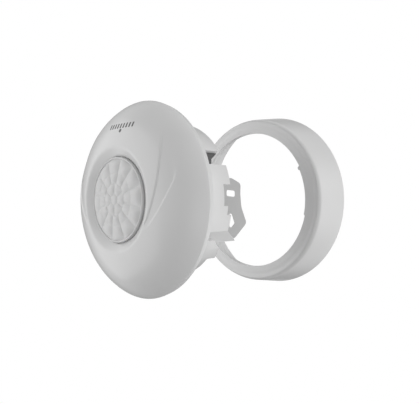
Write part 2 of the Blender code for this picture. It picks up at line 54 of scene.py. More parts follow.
SHARP_ANGLE = 35.0
GAP = 0.3
COVER_BACK = 2.8
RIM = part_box("front_cover")[1][1] / MM - COVER_BACK
COVER_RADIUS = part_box("front_cover")[1][0] / MM
RING_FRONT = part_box("mounting_ring")[0][1] / MM
RING_REAR_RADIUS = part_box("mounting_ring")[1][0] / MM
BOARD_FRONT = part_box("main_board")[0][1] / MM - RIM

COVER_WALL = 2.0
COVER_STEPS = 720
DOME_HEIGHT = 20.0
DOME_ROUNDNESS = 3.68
DOME_SHOULDER = 1.22
DISH_RADIUS = 29.2
DISH_FILLET = 1.2
LENS_HOLE = 24.4
LENS_RADIUS = 23.8
LENS_EDGE = -17.2
LENS_CROWN = 1.9
LENS_STEPS = 600
LENS_FLANGE_RADIUS = 26.4
LENS_FLANGE = (-14.6, -13.4)
BOWL_RADIUS = 46.4
BOWL_INNER = 43.5
FLANGE_BACK = 8.2
FLOOR_FRONT = 15.5
FLOOR_BACK = 17.5
WEB_HALF = 0.6
BOARD_RADIUS = 42.5
BOARD_THICK = 1.6
TERMINAL_COLUMNS = (-10.0, 0.0, 10.0)
DIP_PITCH = 2.54
PILLAR_CIRCLE = 38.1
PILLAR_ANGLES = (90.0, -30.0, 210.0)

# Back edge of the skirt for half a turn, as (angle, distance); the other half repeats it.
SKIRT_EDGE = [
    (90.0, 27.0), (60.0, 27.0), (37.5, 26.8), (36.1, 25.6), (35.7, 15.2),
    (24.9, 13.6), (24.6, 27.4), (10.8, 27.2), (10.5, 21.7), (-4.1, 21.7),
    (-4.3, 24.8), (-10.4, 24.8), (-10.6, 28.0), (-22.0, 28.0), (-22.3, 12.0),
    (-28.7, 12.0), (-29.0, 19.7), (-36.5, 26.2), (-44.3, 28.3), (-46.0, 28.5),
    (-46.3, 22.6), (-89.9, 22.6),
]
CHANNEL = (24.6, 35.85)
SLOT_END = 50.5
CHANNEL_RADIUS = 45.2
SLOT = (9.3, 13.8)

# The ring's tab: its ends, its radius beside the shelf, and how far the shelf and catch stand in.
TAB_ENDS = (-12.6, 28.2)
TAB_STEPS = 120
TAB_RADIUS = 47.3
TAB_REACH = 0.8
TAB_ROOT = 48.5
CATCH_START = 24.9
CATCH_REACH = 0.8
KEYHOLE = (52.8, -3.0)
KEYSLOT_TOP = 3.2

# Crescents on the cover: centre, radius and edge width of their two arcs, how their outer
# edge widens upwards, and where they fade out at the top and at the bottom.
SCOOP_DEPTH = 0.45
SCOOP_INNER = ((-19.4, 16.3), 54.6, 0.35)
SCOOP_OUTER = ((-19.1, 32.4), 67.2, 0.9)
SCOOP_OPENING = (8.0, 28.0, 9.0)
SCOOP_TOP = (31.5, 37.5)
SCOOP_BOTTOM = (-15.5, -11.0)

# Inner and outer radius, number of segments, angle of the first groove, height, and how deep
# the ring grooves at the inner and outer radius cut into that height.
LENS_RINGS = (
    (0.0, 3.0, 1, 0.0, 0.7, 1.0, 1.0),
    (3.0, 9.0, 6, 30.0, 0.9, 0.9, 0.7),
    (9.0, 15.0, 12, 20.0, 0.95, 0.6, 0.35),
    (15.0, 22.7, 12, 20.0, 1.3, 0.4, 1.0),
)
LENS_RIM = 22.7
LENS_SUNK = 0.8
LENS_STEP = 0.2
PILLOW_POWER = 2.3

# Bars over a dot that stand where the printing is: size and place on the dome.
MARK_CENTRE = (1.5, 41.2)
MARK_BARS = 9
MARK_PITCH = 2.5
MARK_BAR = (1.1, 2.8)
MARK_DOT = ((2.4, 38.3), 1.0)

# The studio, in metres, degrees and watts.
FLOOR_LEVEL = -0.42
FLOOR_HALF = 4.0
# Soft glows: azimuth from -Y towards +X, elevation, strength.
GLOW_FOCUS = 14.0
GLOWS = (
    (122.0, 18.0, 2.25), (122.0, -18.0, 2.25), (159.0, -30.0, 1.07), (122.0, 54.0, 1.03),
    (180.0, 58.0, 0.83), (180.0, -58.0, 0.72), (0.0, 90.0, 0.75), (58.0, 54.0, 0.67),
    (58.0, 18.0, 0.4), (58.0, -18.0, 1.25), (58.0, -54.0, 0.48), (0.0, 0.0, 0.83),
    (-21.0, 30.0, 0.55), (-21.0, -30.0, 0.55), (-32.0, 0.0, 0.36), (-58.0, 18.0, 0.63),
    (-58.0, -18.0, 0.63), (-90.0, 32.0, 0.52), (-90.0, -32.0, 0.52), (-122.0, 54.0, 0.32),
    (-140.0, 0.0, 1.1),
)
SOFTBOX_AZIMUTH = -45.0
SOFTBOX_DISTANCE = 1.0
SOFTBOX_SIZE = (1.4, 1.8)
SOFTBOX_WATTS = 6.2

CAMERA_SPOT = (232.73, -176.36, 0.0)
CAMERA_AZIMUTH = 45.0
FOCAL_PIXELS = 498.5
FRAME_PIXELS = 419.0
HORIZON_SHIFT = -0.0054


# ---------------------------------------------------------------- materials

def link(tree, source, target):
    tree.links.new(source, target)


def noise_node(tree, scale, detail, roughness=0.5):
    coordinates = tree.nodes.new("ShaderNodeTexCoord")
    node = tree.nodes.new("ShaderNodeTexNoise")
    node.inputs["Scale"].default_value = scale
    node.inputs["Detail"].default_value = detail
    node.inputs["Roughness"].default_value = roughness
    link(tree, coordinates.outputs["Object"], node.inputs["Vector"])
    return node


def surface(name, colour, roughness, metallic=0.0, grain=1400.0, bump=0.12, depth=0.00003,
            blotch=0.03, rough_swing=0.05, coat=0.0, ior=1.5, subsurface=0.0, brushed=False):
    """Moulded or metal surface: fine grain as bump, and soft changes of colour and gloss."""
    made = bpy.data.materials.new(name)
    made.use_nodes = True
    tree = made.node_tree
    shader = tree.nodes["Principled BSDF"]
    shader.inputs["Metallic"].default_value = metallic
    shader.inputs["IOR"].default_value = ior
    shader.inputs["Coat Weight"].default_value = coat
    shader.inputs["Coat Roughness"].default_value = 0.2
    if subsurface:
        shader.inputs["Subsurface Weight"].default_value = subsurface
        shader.inputs["Subsurface Radius"].default_value = (0.0012, 0.0011, 0.0010)
        shader.inputs["Subsurface Scale"].default_value = 1.0

    cloud = noise_node(tree, 55.0, 3.0)
    tint = tree.nodes.new("ShaderNodeValToRGB")
    tint.color_ramp.elements[0].position = 0.3
    tint.color_ramp.elements[1].position = 0.7
    tint.color_ramp.elements[0].color = (*[part * (1.0 - blotch) for part in colour], 1.0)
    tint.color_ramp.elements[1].color = (*[min(1.0, part * (1.0 + blotch)) for part in colour], 1.0)
    link(tree, cloud.outputs["Fac"], tint.inputs["Fac"])
    link(tree, tint.outputs["Color"], shader.inputs["Base Color"])

    polish = noise_node(tree, 160.0, 4.0)
    gloss = tree.nodes.new("ShaderNodeMapRange")
    gloss.inputs["To Min"].default_value = roughness - rough_swing
    gloss.inputs["To Max"].default_value = roughness + rough_swing
    link(tree, polish.outputs["Fac"], gloss.inputs["Value"])
    link(tree, gloss.outputs["Result"], shader.inputs["Roughness"])

    texture = noise_node(tree, grain, 2.0, 0.6)
    if brushed:
        stretch = tree.nodes.new("ShaderNodeMapping")
        stretch.inputs["Scale"].default_value = (1.0, 1.0, 0.06)
        source = texture.inputs["Vector"].links[0].from_socket
        link(tree, source, stretch.inputs["Vector"])
        link(tree, stretch.outputs["Vector"], texture.inputs["Vector"])
    relief = tree.nodes.new("ShaderNodeBump")
    relief.inputs["Strength"].default_value = bump
    relief.inputs["Distance"].default_value = depth
    link(tree, texture.outputs["Fac"], relief.inputs["Height"])
    link(tree, relief.outputs["Normal"], shader.inputs["Normal"])
    return made


def make_skins():
    return {
        "white": surface("white_moulding", (0.70, 0.70, 0.70), 0.22, blotch=0.004, rough_swing=0.03),
        "lens": surface("lens_polyethylene", (0.66, 0.66, 0.66), 0.42, blotch=0.01, subsurface=0.1),
        # Painted shade: this grey stands for the white moulding in shade; the wiring plates and their feet
        # wear it.
        "grey": surface("nylon_painted_shade", (0.44, 0.44, 0.44), 0.48, blotch=0.04),
        # Partly real, partly painted shade: a rubber plug sits in the skirt's notch, and its near-black
        # colour stands for the shadow inside that notch.
        "rubber": surface("dark_rubber", (0.095, 0.095, 0.095), 0.75, grain=2600.0, bump=0.3),
        "gasket": surface("silicone_foam", (0.66, 0.66, 0.65), 0.8, grain=3600.0, bump=0.5),
        "board": surface("solder_mask", (0.02, 0.17, 0.07), 0.32, grain=900.0, blotch=0.12, coat=0.4),
        "copper": surface("masked_track", (0.03, 0.24, 0.10), 0.30, grain=900.0, blotch=0.08, coat=0.4),
        "black": surface("black_moulding", (0.025, 0.025, 0.026), 0.45, blotch=0.1),
        "sleeve": surface("capacitor_sleeve", (0.02, 0.02, 0.03), 0.30, blotch=0.1),
        "steel": surface(
            "zinc_plate", (0.62, 0.62, 0.63), 0.32, 1.0, grain=1800.0, blotch=0.06, brushed=True),
        "brass": surface(
            "bright_brass", (0.78, 0.56, 0.25), 0.30, 1.0, grain=1500.0, blotch=0.08, brushed=True),
        "tin": surface("tin_plate", (0.80, 0.79, 0.75), 0.25, 1.0, grain=1500.0, blotch=0.05),
        "filter": surface("silicon_window", (0.09, 0.09, 0.11), 0.12, 0.5, blotch=0.1, coat=0.6),
        "blue": surface("blue_moulding", (0.03, 0.12, 0.42), 0.42, blotch=0.06),
        "red": surface("red_moulding", (0.50, 0.03, 0.025), 0.35, blotch=0.06),
        "ink": surface("printing_ink", (0.10, 0.10, 0.10), 0.5, blotch=0.05),
        "button": surface("white_nylon", (0.78, 0.78, 0.76), 0.45, blotch=0.02),
        "glow": surface("clear_red_lens", (0.55, 0.03, 0.02), 0.12, blotch=0.03, coat=0.8),
    }


# ---------------------------------------------------------------- mesh building

def show(name, vertices, faces, skin, body, replaced=(), sharp=SHARP_ANGLE):
    """Named piece from vertices in metres, riding on a body and standing for CAD nodes."""
    mesh = bpy.data.meshes.new(name)
    mesh.from_pydata([tuple(vertex) for vertex in vertices], [], [tuple(face) for face in faces])
    maker = bmesh.new()
    maker.from_mesh(mesh)
    bmesh.ops.remove_doubles(maker, verts=maker.verts[:], dist=1e-7)
    bmesh.ops.recalc_face_normals(maker, faces=maker.faces[:])
    maker.to_mesh(mesh)
    maker.free()
    mesh.materials.append(skin)
    mesh.shade_smooth()
    mesh.set_sharp_from_angle(angle=math.radians(sharp))
    made = bpy.data.objects.new(name, mesh)
    bpy.context.scene.collection.objects.link(made)
    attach(made, body)
    if replaced:
        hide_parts(*replaced)
    return made


class Shape:
    """Vertices and faces of several closed solids, in millimetres from the rim plane."""

    def __init__(self, shift=RIM):
        self.vertices = []
        self.faces = []
        self.shift = shift

    def add(self, vertices, faces):
        start = len(self.vertices)
        self.vertices += [tuple(vertex) for vertex in vertices]
        self.faces += [tuple(start + index for index in face) for face in faces]
        return self

    def metres(self):
        return [(x * MM, (y + self.shift) * MM, z * MM) for x, y, z in self.vertices]

    def piece(self, name, skin, body, slot, replaced=(), sharp=SHARP_ANGLE):
        return show(name, self.metres(), self.faces, skin, body, replaced, sharp)

    def stations(self, angles, section_at, centre=(0.0, 0.0)):
        """Closed solid through sections of (radius, along) at a full turn of angles about Y."""
        vertices = []
        rings = []
        axis = {}
        for angle in angles:
            turn = math.radians(angle)
            ring = []
            for index, (radius, along) in enumerate(section_at(angle)):
                if radius == 0.0:
                    if index not in axis:
                        axis[index] = len(vertices)
                        vertices.append((centre[0], along, centre[1]))
                    ring.append(axis[index])
                    continue
                ring.append(len(vertices))
                vertices.append((
                    centre[0] + radius * math.cos(turn), along, centre[1] + radius * math.sin(turn)))
            rings.append(ring)
        faces = []
        for ring, following in zip(rings, rings[1:] + rings[:1]):
            for index in range(len(ring)):
                after = (index + 1) % len(ring)
                corners = (ring[index], ring[after], following[after], following[index])
                corners = list(dict.fromkeys(corners))
                if len(corners) > 2:
                    faces.append(corners)
        return self.add(vertices, faces)

    def turned(self, profile, count=96, centre=(0.0, 0.0)):
        angles = [360.0 * step / count for step in range(count)]
        return self.stations(angles, lambda angle: profile, centre)

    def sector(self, inner, outer, low, high, front_at, back_at, steps=24, ease=0.0):
        """Arc block between two radii, with eased edges along its arcs."""
        vertices = []
        for step in range(steps + 1):
            angle = low + (high - low) * step / steps
            turn = math.radians(angle)
            front = front_at(angle)
            back = back_at(angle)
            corners = [
                (inner + ease, front), (outer - ease, front), (outer, front + ease), (outer, back - ease),
                (outer - ease, back), (inner + ease, back), (inner, back - ease), (inner, front + ease),
            ]
            vertices += around(corners, turn)
        return self.add(vertices, tube_faces(steps, len(corners)))

    def half_turn(self):
        """Repeat everything so far half a turn round the sensor axis."""
        copy = [(-x, y, -z) for x, y, z in self.vertices]
        return self.add(copy, list(self.faces))

    def prism(self, outline, axis, low, high, ease=0.0):
        """Outline in (y, z) along X or in (x, z) along Y, with eased rims."""
        lows = low if isinstance(low, (list, tuple)) else [low] * len(outline)
        highs = high if isinstance(high, (list, tuple)) else [high] * len(outline)
        inset = inset_outline(outline, ease) if ease else outline
        rows = [(outline, lows, ease), (outline, highs, -ease)]
        if ease:
            rows = [
                (inset, lows, 0.0), (outline, lows, ease), (outline, highs, -ease), (inset, highs, 0.0)]
        vertices = []
        for points, levels, offset in rows:
            for (first, second), level in zip(points, levels):
                along = level + offset
                vertices.append((along, first, second) if axis == "X" else (first, along, second))
        return self.add(vertices, tube_faces(len(rows) - 1, len(outline)))

    def block(self, x_range, y_range, z_range, ease=0.25):
        corners = [(x_range[0], z_range[0]), (x_range[1], z_range[0]), (x_range[1], z_range[1]),
                   (x_range[0], z_range[1])]
        outline = rounded(corners, ease, 3) if ease else corners
        return self.prism(outline, "Y", y_range[0], y_range[1], ease * 0.6)


def around(section, turn):
    """Points of a section of (radius, along), turned about the sensor axis."""
    return [(radius * math.cos(turn), along, radius * math.sin(turn)) for radius, along in section]


def tube_faces(steps, size):
    """Faces of a closed tube: its wall over a number of steps, and its two ends."""
    faces = []
    for step in range(steps):
        base = step * size
        for index in range(size):
            after = (index + 1) % size
            faces.append((base + index, base + after, base + size + after, base + size + index))
    return faces + [tuple(range(size)), tuple(steps * size + index for index in range(size))]


def inset_outline(outline, amount):
    """Outline moved inwards by amount, whichever way round it runs."""
    area = sum(
        first[0] * second[1] - second[0] * first[1]
        for first, second in zip(outline, outline[1:] + outline[:1]))
    side = 1.0 if area > 0.0 else -1.0
    moved = []
    for index, point in enumerate(outline):
        before = Vector(outline[index - 1])
        here = Vector(point)
        after = Vector(outline[(index + 1) % len(outline)])
        along = ((here - before).normalized() + (after - here).normalized()).normalized()
        normal = Vector((-along.y, along.x)) * side
        moved.append(tuple(here + normal * amount))
    return moved


def fillet(corner, start, end, radius, steps=5):
    """Round one corner of a profile between its neighbours."""
    here = Vector(corner)
    before = (Vector(start) - here).normalized() * radius + here
    after = (Vector(end) - here).normalized() * radius + here
    points = []
    for step in range(steps + 1):
        share = step / steps
        blend = before.lerp(here, share).lerp(here.lerp(after, share), share)
        points.append((blend.x, blend.y))
    return points


def soft_profile(corners, radii, steps=5):
    """Closed profile with its own rounding at each corner; 0 keeps a corner sharp."""
    points = []
    for index, (corner, radius) in enumerate(zip(corners, radii)):
        if radius == 0.0:
            points.append(corner)
        else:
            following = corners[(index + 1) % len(corners)]
            points += fillet(corner, corners[index - 1], following, radius, steps)
    return points


def rounded(corners, radius, steps=5):
    """Closed outline with the same rounding at every corner."""
    return soft_profile(corners, [radius] * len(corners), steps)


def circle(radius, centre=(0.0, 0.0), count=32):
    turns = [2.0 * math.pi * step / count for step in range(count)]
    return [(centre[0] + radius * math.cos(turn), centre[1] + radius * math.sin(turn)) for turn in turns]


def on_circle(radius, angle):
    turn = math.radians(angle)
    return (radius * math.cos(turn), radius * math.sin(turn))


def smooth(value):
    """Smooth step from 0 to 1."""
    value = min(1.0, max(0.0, value))
    return value * value * (3.0 - 2.0 * value)


def cut_with(target, tool_shape, name):
    """Boolean difference, applied, so that the tool doesn't stay in the scene."""
    tool_mesh = bpy.data.meshes.new(name)
    tool_mesh.from_pydata(tool_shape.metres(), [], tool_shape.faces)
    maker = bmesh.new()
    maker.from_mesh(tool_mesh)
    bmesh.ops.recalc_face_normals(maker, faces=maker.faces[:])
    maker.to_mesh(tool_mesh)
    maker.free()
    tool = bpy.data.objects.new(name, tool_mesh)
    bpy.context.scene.collection.objects.link(tool)
    change = target.modifiers.new(name, "BOOLEAN")
    change.operation = "DIFFERENCE"
    change.solver = "EXACT"
    change.object = tool
    bpy.context.view_layer.update()
    depsgraph = bpy.context.evaluated_depsgraph_get()
    result = bpy.data.meshes.new_from_object(target.evaluated_get(depsgraph))
    target.modifiers.clear()
    target.data = result
    bpy.data.objects.remove(tool, do_unlink=True)
    result.shade_smooth()
    result.set_sharp_from_angle(angle=math.radians(SHARP_ANGLE))


# ---------------------------------------------------------------- outer shells

def dome_at(radius, height, across):
    """Place of a dome's surface at a distance from its axis."""
    share = min(1.0, (across / radius) ** DOME_ROUNDNESS)
    return -height * (1.0 - share) ** (1.0 / DOME_SHOULDER)


def dome_rows(radius, height, inner, count):
    """Profile of a dome from its rim to an inner radius, with even turns between its points."""
    rows = []
    last = math.acos((inner / radius) ** (DOME_ROUNDNESS / 2.0))
    for step in range(count + 1):
        turn = last * step / count
        across = radius * math.cos(turn) ** (2.0 / DOME_ROUNDNESS)
        rows.append((across, -height * math.sin(turn) ** (2.0 / DOME_SHOULDER)))
    return rows


def scoop(across, up):
    """Depth of the crescent between two arcs, the same on the left and on the right."""
    across = abs(across)
    centre, radius, edge = SCOOP_INNER
    past_inner = math.hypot(across - centre[0], up - centre[1]) - radius
    centre, radius, narrow = SCOOP_OUTER
    inside_outer = radius - math.hypot(across - centre[0], up - centre[1])
    low, high, widening = SCOOP_OPENING
    rim = narrow + widening * smooth((up - low) / (high - low))
    top = 1.0 - smooth((up - SCOOP_TOP[0]) / (SCOOP_TOP[1] - SCOOP_TOP[0]))
    bottom = smooth((up - SCOOP_BOTTOM[0]) / (SCOOP_BOTTOM[1] - SCOOP_BOTTOM[0]))
    return SCOOP_DEPTH * smooth(past_inner / edge) * smooth(inside_outer / rim) * top * bottom


def cover_shell(skins):
    """Domed cover with its dish, lens bore and two crescent scoops."""
    outer = dome_rows(COVER_RADIUS, DOME_HEIGHT, DISH_RADIUS + DISH_FILLET, 130)
    shoulder = (DISH_RADIUS, dome_at(COVER_RADIUS, DOME_HEIGHT, DISH_RADIUS))
    lip = (LENS_HOLE, -15.6)
    outer += fillet(shoulder, outer[-1], lip, DISH_FILLET, 8)
    lip_steps = 4
    outer += fillet(lip, shoulder, (LENS_HOLE, -14.9), 0.3, lip_steps)
    inside = COVER_RADIUS - COVER_WALL
    height = DOME_HEIGHT - COVER_WALL
    inner = [(LENS_HOLE, -14.9), (27.0, -14.9), (27.0, -11.0), (28.6, -11.0)]
    inner += [(across, dome_at(inside, height, across)) for across in np.linspace(28.6, 48.6, 12)]
    inner += [(48.6, 2.5), (48.9, 2.8), (49.9, 2.8), (50.2, 2.5)]
    inner += [(across, dome_at(inside, height, across)) for across in np.linspace(50.2, 54.2, 6)]
    inner += [(54.9, -0.8), (54.9, 0.6), (55.2, COVER_BACK), (56.5, COVER_BACK), (56.85, 0.5)]
    profile = outer + inner
    vertices = []
    for step in range(COVER_STEPS):
        turn = 2.0 * math.pi * step / COVER_STEPS
        for index, (radius, along) in enumerate(profile):
            across = radius * math.cos(turn)
            up = radius * math.sin(turn)
            if 0 < index < len(outer) - lip_steps - 2:
                along += scoop(across, up)
            vertices.append((across, along, up))
    size = len(profile)
    faces = []
    for step in range(COVER_STEPS):
        start = step * size
        following = (step + 1) % COVER_STEPS * size
        for index in range(size):
            after = (index + 1) % size
            faces.append((start + index, start + after, following + after, following + index))
    shape = Shape().add(vertices, faces)
    return shape.piece("cover_shell", skins["white"], "cover", "white_plastic", ["front_cover"], 40.0)


def printed_mark(skins):
    """Plain row of bars over a dot, printed on the dome above the lens."""
    shape = Shape()

    def patch(outline):
        """Thin closed patch that lies on the dome."""
        vertices = []
        for lift in (-0.05, 0.15):
            for across, up in outline:
                along = dome_at(COVER_RADIUS, DOME_HEIGHT, math.hypot(across, up))
                vertices.append((across, along + lift, up))
        shape.add(vertices, tube_faces(1, len(outline)))

    for index in range(MARK_BARS):
        middle = MARK_CENTRE[0] + (index - (MARK_BARS - 1) / 2.0) * MARK_PITCH
        width, height = MARK_BAR
        left, right = middle - width / 2, middle + width / 2
        low, high = MARK_CENTRE[1] - height / 2, MARK_CENTRE[1] + height / 2
        patch(rounded([(left, low), (right, low), (right, high), (left, high)], 0.3, 3))
    patch(circle(MARK_DOT[1], MARK_DOT[0], 24))
    shape.piece("printed_mark", skins["ink"], "cover", "black_plastic")


def pillow(share):
    """Flat-topped bulge from 0 at both ends of a share to 1 in its middle."""
    return 1.0 - abs(2.0 * share - 1.0) ** PILLOW_POWER


def lens_relief(radius, angle):
    """Height of the moulded segments: each is a pillow between its grooves."""
    for inner, outer, count, start, height, inner_cut, outer_cut in LENS_RINGS:
        if inner <= radius < outer:
            if count == 1:
                return height * (1.0 - (radius / outer) ** 3)
            across = pillow(((angle - start) / (360.0 / count)) % 1.0)
            share = (radius - inner) / (outer - inner)
            depth = inner_cut if share < 0.5 else outer_cut
            return height * across * (1.0 - depth * (1.0 - pillow(share)))
    return LENS_SUNK * min(1.0, (radius - LENS_RIM) / 0.5)


def fresnel_lens(skins):
    """Domed lens disc with rings of pillow-shaped segments, a rim and a clamping flange."""
    radii = [0.0] + list(np.arange(0.3, LENS_RADIUS - LENS_STEP, LENS_STEP))
    vertices = []
    faces = []
    front = []
    tail = [
        (LENS_RADIUS - 0.1, LENS_EDGE + 0.05), (LENS_RADIUS, LENS_EDGE + 0.2),
        (LENS_RADIUS, LENS_FLANGE[0]), (LENS_FLANGE_RADIUS, LENS_FLANGE[0]),
        (LENS_FLANGE_RADIUS, LENS_FLANGE[1]), (22.5, LENS_FLANGE[1]), (22.5, -15.2), (12.0, -16.2),
    ]
    for step in range(LENS_STEPS):
        angle = 360.0 * step / LENS_STEPS
        turn = math.radians(angle)
        row = []
        for radius in radii:
            rise = LENS_EDGE - LENS_CROWN * (1.0 - (radius / LENS_RADIUS) ** 2) + LENS_SUNK
            along = rise - lens_relief(radius, angle)
            if radius == 0.0:
                if not front:
                    vertices.append((0.0, along, 0.0))
                row.append(0)
                continue
            row.append(len(vertices))
            vertices.append((radius * math.cos(turn), along, radius * math.sin(turn)))
        row += range(len(vertices), len(vertices) + len(tail))
        vertices += around(tail, turn)
        front.append(row)
    centre_back = len(vertices)
    vertices.append((0.0, -16.6, 0.0))
    for row, following in zip(front, front[1:] + front[:1]):
        for index in range(len(row) - 1):
            corners = (row[index], row[index + 1], following[index + 1], following[index])
            corners = list(dict.fromkeys(corners))
            if len(corners) > 2:
                faces.append(corners)
        faces.append((row[-1], centre_back, following[-1]))
    shape = Shape().add(vertices, faces)
    return shape.piece("fresnel_lens", skins["lens"], "cover", "lens_plastic", ["lens_disc"], 50.0)


def lens_clamp(skins):
    """Ring that holds the lens flange from behind."""
    corners = [(22.9, -13.1), (26.6, -13.1), (26.6, -11.6), (22.9, -11.6)]
    shape = Shape().turned(soft_profile(corners, [0.3] * 4), 160)
    return shape.piece("lens_clamp", skins["white"], "cover", "white_plastic", ["lens_retaining_ring"])


def edge_at(outline, angle):
    """Distance of a (angle, distance) line at an angle; the angles fall along it."""
    for (first, low), (second, high) in zip(outline, outline[1:]):
        if second <= angle <= first:
            return low + (high - low) * (first - angle) / (first - second)
    return outline[-1][1]


def bowl_section(angle):
    """Profile of the bowl and skirt at an angle: flange, slot, edge, floor and inner wall."""
    folded = (angle + 90.0) % 180.0 - 90.0
    edge = edge_at(SKIRT_EDGE, folded)
    in_channel = CHANNEL[0] <= folded <= CHANNEL[1]
    in_slot = CHANNEL[0] <= folded <= SLOT_END
    slot_radius = CHANNEL_RADIUS if in_slot else BOWL_RADIUS
    above = CHANNEL_RADIUS if in_channel else BOWL_RADIUS
    slot_back = min(SLOT[1], edge - 0.7)
    wall_top = min(FLOOR_FRONT, edge - 2.0)
    floor_back = min(FLOOR_BACK, edge - 1.0)
    ease = 0.35
    return [
        (52.2, 1.2), (55.2, 1.2), (55.6, 1.3), (55.65, 1.55), (55.4, 1.85),
        (51.7, 5.5), (51.1, 6.1), (49.9, 7.3), (49.4, 7.8), (48.8, FLANGE_BACK),
        (BOWL_RADIUS + 0.5, FLANGE_BACK), (BOWL_RADIUS, FLANGE_BACK + 0.5),
        (BOWL_RADIUS, SLOT[0] - 0.01), (slot_radius, SLOT[0]), (slot_radius, slot_back),
        (above, slot_back + 0.01), (above, edge - ease), (above - 0.1, edge - 0.1), (above - ease, edge),
        (BOWL_INNER + ease, edge), (BOWL_INNER + 0.1, edge - 0.1), (BOWL_INNER, edge - ease),
        (BOWL_INNER, floor_back), (BOWL_INNER - 1.5, FLOOR_BACK), (0.0, FLOOR_BACK), (0.0, FLOOR_FRONT),
        (BOWL_INNER - 1.5, FLOOR_FRONT), (BOWL_INNER, wall_top - 0.5), (BOWL_INNER, 7.2), (47.5, 6.0),
    ]


def bowl_housing(skins):
    """Bowl with its notched skirt, bayonet slot, web facets, pillars and floor ribs."""
    breaks = {point[0] for point in SKIRT_EDGE} | {SLOT_END, SLOT_END + 0.1, CHANNEL[1] + 0.05}
    half = sorted(breaks | set(np.arange(-89.0, 90.0, 1.0).tolist()))
    angles = half + [angle + 180.0 for angle in half]
    shape = Shape().stations(angles, bowl_section)
    web = Shape()
    outline = [(43.0, -17.4), (36.6, -24.0), (35.3, -22.6), (41.4, -16.2)]
    web.prism(outline, "Y", 10.4, [28.0, 40.6, 40.6, 28.0], 0.15)
    for angle in (60.0, 120.0):
        turn = math.radians(angle)
        along = Vector((math.cos(turn), math.sin(turn)))
        side = Vector((-along.y, along.x)) * WEB_HALF
        start = along * 22.0
        end = along * (BOWL_INNER - WEB_HALF)
        ends = [tuple(start - side), tuple(end - side), tuple(end + side), tuple(start + side)]
        web.prism(ends, "Y", FLOOR_BACK - 0.5, FLOOR_BACK + 2.2, 0.2)
    web.half_turn()
    shape.add(web.vertices, web.faces)
    for angle in PILLAR_ANGLES:
        centre = on_circle(PILLAR_CIRCLE, angle)
        shape.turned([(0.0, 10.2), (2.7, 10.2), (3.0, 10.5), (3.4, 16.0), (0.0, 16.0)], 40, centre)
    return shape.piece("bowl_housing", skins["white"], "head", "white_plastic", ["rear_housing"])


def surface_ring(skins):
    """Hollow flared ring: stepped front face, lip, bayonet tabs and keyhole lugs."""
    front = RING_FRONT
    corners = [
        (47.5, front), (51.0, front), (53.2, front + 0.75), (55.7, front + 0.45), (57.4, front + 2.1),
        (RING_REAR_RADIUS, 0.0), (RING_REAR_RADIUS - 1.1, 0.0),
        (55.4, front + 4.5), (54.4, front + 3.5), (47.5, front + 3.5),
    ]
    radii = [0.35, 1.2, 1.0, 1.2, 1.8, 0.3, 0.2, 0.0, 0.0, 0.3]
    shape = Shape(0.0).turned(soft_profile(corners, radii, 7), 480)
    tabs = Shape(0.0)
    back = front + 3.3
    first, last = TAB_ENDS

    def inner_at(angle):
        """Inner radius of the tab: a shelf with a catch at its upper end."""
        end = smooth((last + 0.1 - angle) / 0.8)
        catch = CATCH_REACH * smooth((angle - CATCH_START) / 0.6) * end
        return TAB_RADIUS - TAB_REACH * smooth((angle - first + 0.1) / 0.8) * end - catch

    vertices = []
    for step in range(TAB_STEPS + 1):
        angle = first + (last - first) * step / TAB_STEPS
        inner = inner_at(angle)
        section = [(inner + 0.3, front + 0.2), (TAB_ROOT, front + 0.2), (TAB_ROOT, back),
                   (inner + 0.3, back), (inner, back - 0.3), (inner, front + 0.5)]
        vertices += around(section, math.radians(angle))
    tabs.add(vertices, tube_faces(TAB_STEPS, len(section)))
    tabs.half_turn()
    shape.add(tabs.vertices, tabs.faces)
    ring = shape.piece("surface_ring", skins["white"], "ring", "white_plastic", ["mounting_ring"])

    lugs = Shape(0.0).sector(
        46.5, RING_REAR_RADIUS - 0.9, -8.5, 8.5, lambda angle: -3.0, lambda angle: -0.2, 20, 0.2)
    lugs.half_turn()
    plates = lugs.piece("fixing_lugs", skins["white"], "ring", "white_plastic")
    holes = Shape(0.0)
    holes.prism(circle(3.8, KEYHOLE, 40), "Y", -4.0, 1.0)
    holes.half_turn()
    cut_with(plates, holes, "keyholes")
    slots = Shape(0.0)
    top = circle(1.9, (KEYHOLE[0], KEYSLOT_TOP), 24)[:13]
    slots.prism(top + [(50.9, KEYHOLE[1]), (54.7, KEYHOLE[1])], "Y", -4.1, 1.1)
    slots.half_turn()
    cut_with(plates, slots, "keyslots")
    return ring


def head_washer(skins):
    """Soft washer behind the bowl's flange."""
    low = FLANGE_BACK + GAP
    corners = [(47.0, low), (49.4, low), (49.4, low + 1.0), (47.0, low + 1.0)]
    shape = Shape().turned(soft_profile(corners, [0.25] * 4), 240)
    return shape.piece("head_washer", skins["gasket"], "gasket", "white_silicone", ["head_gasket"])


# ---------------------------------------------------------------- parts on the back of the head

def turn_half(shape, half):
    """Shape half a turn round the sensor axis, for the pieces on the left."""
    if half:
        shape.vertices = [(-x, y, -z) for x, y, z in shape.vertices]
    return shape


